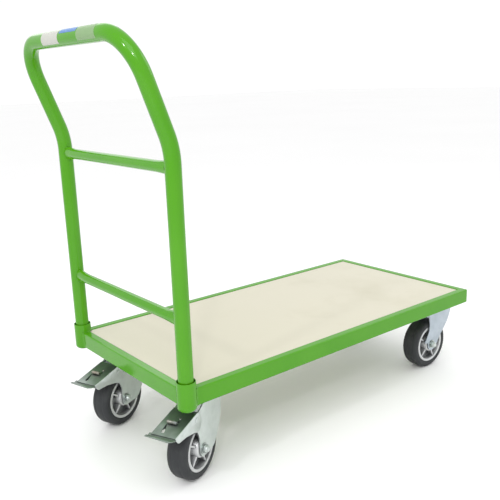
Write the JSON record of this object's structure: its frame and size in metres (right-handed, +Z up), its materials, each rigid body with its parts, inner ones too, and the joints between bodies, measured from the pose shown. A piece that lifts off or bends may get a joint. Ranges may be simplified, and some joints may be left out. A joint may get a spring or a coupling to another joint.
{
  "type": "platform cart",
  "caption": "Platform cart: tube frame with an inset board, a bent tube handle in corner sockets, swivel casters with brakes behind and fixed casters in front.",
  "frame": {"origin": "on the floor, at the middle of the cart's bounding box at rest", "axes": "+X from the handle end to the front, +Y to the left, +Z up"},
  "size_m": [1.0875, 0.5357, 0.9717],
  "materials": {
    "rail_left": "glossy green paint on steel tube",
    "rail_right": "glossy green paint on steel tube",
    "rail_front": "glossy green paint on steel tube",
    "rail_rear": "glossy green paint on steel tube",
    "handle_socket_left": "glossy green paint on steel tube",
    "handle_socket_right": "glossy green paint on steel tube",
    "deck_board": "cream laminate on a flat board",
    "bearer_1": "glossy green paint on steel tube",
    "bearer_2": "glossy green paint on steel tube",
    "bearer_3": "glossy green paint on steel tube",
    "bearer_4": "glossy green paint on steel tube",
    "bearer_5": "glossy green paint on steel tube",
    "caster_pad_rear_right": "glossy green paint on steel tube",
    "caster_pad_front_right": "glossy green paint on steel tube",
    "top_plate_right": "bright zinc plate on pressed steel",
    "ball_race_right": "bright zinc plate on pressed steel",
    "king_pin_right": "dull plated steel",
    "fixed_bracket_right": "bright zinc plate on pressed steel",
    "axle_sleeve_front_right": "dull plated steel",
    "axle_nut_front_right": "bright zinc plate on pressed steel",
    "axle_bolt_front_right": "bright zinc plate on pressed steel",
    "caster_pad_rear_left": "glossy green paint on steel tube",
    "caster_pad_front_left": "glossy green paint on steel tube",
    "top_plate_left": "bright zinc plate on pressed steel",
    "ball_race_left": "bright zinc plate on pressed steel",
    "king_pin_left": "dull plated steel",
    "fixed_bracket_left": "bright zinc plate on pressed steel",
    "axle_sleeve_front_left": "dull plated steel",
    "axle_nut_front_left": "bright zinc plate on pressed steel",
    "axle_bolt_front_left": "bright zinc plate on pressed steel",
    "handle_loop": "glossy green paint on steel tube",
    "handle_brace_upper": "glossy green paint on steel tube",
    "handle_brace_lower": "glossy green paint on steel tube",
    "fork_right": "bright zinc plate on pressed steel",
    "ball_ring_right": "dull plated steel",
    "axle_sleeve_rear_right": "dull plated steel",
    "axle_nut_rear_right": "bright zinc plate on pressed steel",
    "axle_bolt_rear_right": "bright zinc plate on pressed steel",
    "pedal_pin_right": "bright zinc plate on pressed steel",
    "brake_pedal_right": "bright zinc plate on pressed steel",
    "pedal_roller_right": "bright zinc plate on pressed steel",
    "brake_shoe_right": "dull plated steel",
    "tyre_rear_right": "dark grey solid rubber",
    "rim_rear_right": "cast, light grey",
    "tyre_front_right": "dark grey solid rubber",
    "rim_front_right": "cast, light grey",
    "fork_left": "bright zinc plate on pressed steel",
    "ball_ring_left": "dull plated steel",
    "axle_sleeve_rear_left": "dull plated steel",
    "axle_nut_rear_left": "bright zinc plate on pressed steel",
    "axle_bolt_rear_left": "bright zinc plate on pressed steel",
    "pedal_pin_left": "bright zinc plate on pressed steel",
    "brake_pedal_left": "bright zinc plate on pressed steel",
    "pedal_roller_left": "bright zinc plate on pressed steel",
    "brake_shoe_left": "dull plated steel",
    "tyre_rear_left": "dark grey solid rubber",
    "rim_rear_left": "cast, light grey",
    "tyre_front_left": "dark grey solid rubber",
    "rim_front_left": "cast, light grey"
  },
  "bodies": {
    "deck": {"rail_left": "rail_left", "rail_right": "rail_right", "rail_front": "rail_front", "rail_rear": "rail_rear", "handle_socket_left": "handle_socket_left", "handle_socket_right": "handle_socket_right", "deck_board": "deck_board", "bearer_1": "bearer_1", "bearer_2": "bearer_2", "bearer_3": "bearer_3", "bearer_4": "bearer_4", "bearer_5": "bearer_5", "caster_pad_rear_right": "caster_pad_rear_right", "caster_pad_front_right": "caster_pad_front_right", "top_plate_right": "top_plate_right", "ball_race_right": "ball_race_right", "king_pin_right": "king_pin_right", "fixed_bracket_right": "fixed_bracket_right", "axle_sleeve_front_right": "axle_sleeve_front_right", "axle_nut_front_right": "axle_nut_front_right", "axle_bolt_front_right": "axle_bolt_front_right", "caster_pad_rear_left": "caster_pad_rear_left", "caster_pad_front_left": "caster_pad_front_left", "top_plate_left": "top_plate_left", "ball_race_left": "ball_race_left", "king_pin_left": "king_pin_left", "fixed_bracket_left": "fixed_bracket_left", "axle_sleeve_front_left": "axle_sleeve_front_left", "axle_nut_front_left": "axle_nut_front_left", "axle_bolt_front_left": "axle_bolt_front_left"},
    "handle": {"handle_loop": "handle_loop", "handle_brace_upper": "handle_brace_upper", "handle_brace_lower": "handle_brace_lower"},
    "swivel_right": {"fork_right": "fork_right", "ball_ring_right": "ball_ring_right", "axle_sleeve_rear_right": "axle_sleeve_rear_right", "axle_nut_rear_right": "axle_nut_rear_right", "axle_bolt_rear_right": "axle_bolt_rear_right", "pedal_pin_right": "pedal_pin_right"},
    "pedal_right": {"brake_pedal_right": "brake_pedal_right", "pedal_roller_right": "pedal_roller_right", "brake_shoe_right": "brake_shoe_right"},
    "wheel_rear_right": {"tyre_rear_right": "tyre_rear_right", "rim_rear_right": "rim_rear_right"},
    "wheel_front_right": {"tyre_front_right": "tyre_front_right", "rim_front_right": "rim_front_right"},
    "swivel_left": {"fork_left": "fork_left", "ball_ring_left": "ball_ring_left", "axle_sleeve_rear_left": "axle_sleeve_rear_left", "axle_nut_rear_left": "axle_nut_rear_left", "axle_bolt_rear_left": "axle_bolt_rear_left", "pedal_pin_left": "pedal_pin_left"},
    "pedal_left": {"brake_pedal_left": "brake_pedal_left", "pedal_roller_left": "pedal_roller_left", "brake_shoe_left": "brake_shoe_left"},
    "wheel_rear_left": {"tyre_rear_left": "tyre_rear_left", "rim_rear_left": "rim_rear_left"},
    "wheel_front_left": {"tyre_front_left": "tyre_front_left", "rim_front_left": "rim_front_left"}
  },
  "joints": [
    {"name": "handle_lift", "type": "slide", "parent": "deck", "child": "handle", "axis": [0, 0, 1], "range_m": [0, 0.09]},
    {"name": "swivel_turn_right", "type": "hinge", "parent": "deck", "child": "swivel_right", "pos_m": [-0.36114, -0.169, 0.18], "axis": [0, 0, 1], "continuous": true},
    {"name": "wheel_roll_rear_right", "type": "hinge", "parent": "swivel_right", "child": "wheel_rear_right", "pos_m": [-0.40674, -0.1895, 0.073], "axis": [-0.4099, 0.9121, 0], "continuous": true},
    {"name": "pedal_press_right", "type": "hinge", "parent": "swivel_right", "child": "pedal_right", "pos_m": [-0.43228, -0.20097, 0.156], "axis": [0.4099, -0.9121, 0], "range_deg": [0, 10]},
    {"name": "wheel_roll_front_right", "type": "hinge", "parent": "deck", "child": "wheel_front_right", "pos_m": [0.45986, -0.163, 0.073], "axis": [0, 1, 0], "continuous": true},
    {"name": "swivel_turn_left", "type": "hinge", "parent": "deck", "child": "swivel_left", "pos_m": [-0.36114, 0.169, 0.18], "axis": [0, 0, 1], "continuous": true},
    {"name": "wheel_roll_rear_left", "type": "hinge", "parent": "swivel_left", "child": "wheel_rear_left", "pos_m": [-0.40785, 0.15116, 0.073], "axis": [-0.3567, 0.9342, 0], "continuous": true},
    {"name": "pedal_press_left", "type": "hinge", "parent": "swivel_left", "child": "pedal_left", "pos_m": [-0.434, 0.14117, 0.156], "axis": [0.3567, -0.9342, 0], "range_deg": [0, 10]},
    {"name": "wheel_roll_front_left", "type": "hinge", "parent": "deck", "child": "wheel_front_left", "pos_m": [0.45986, 0.163, 0.073], "axis": [0, 1, 0], "continuous": true}
  ]
}
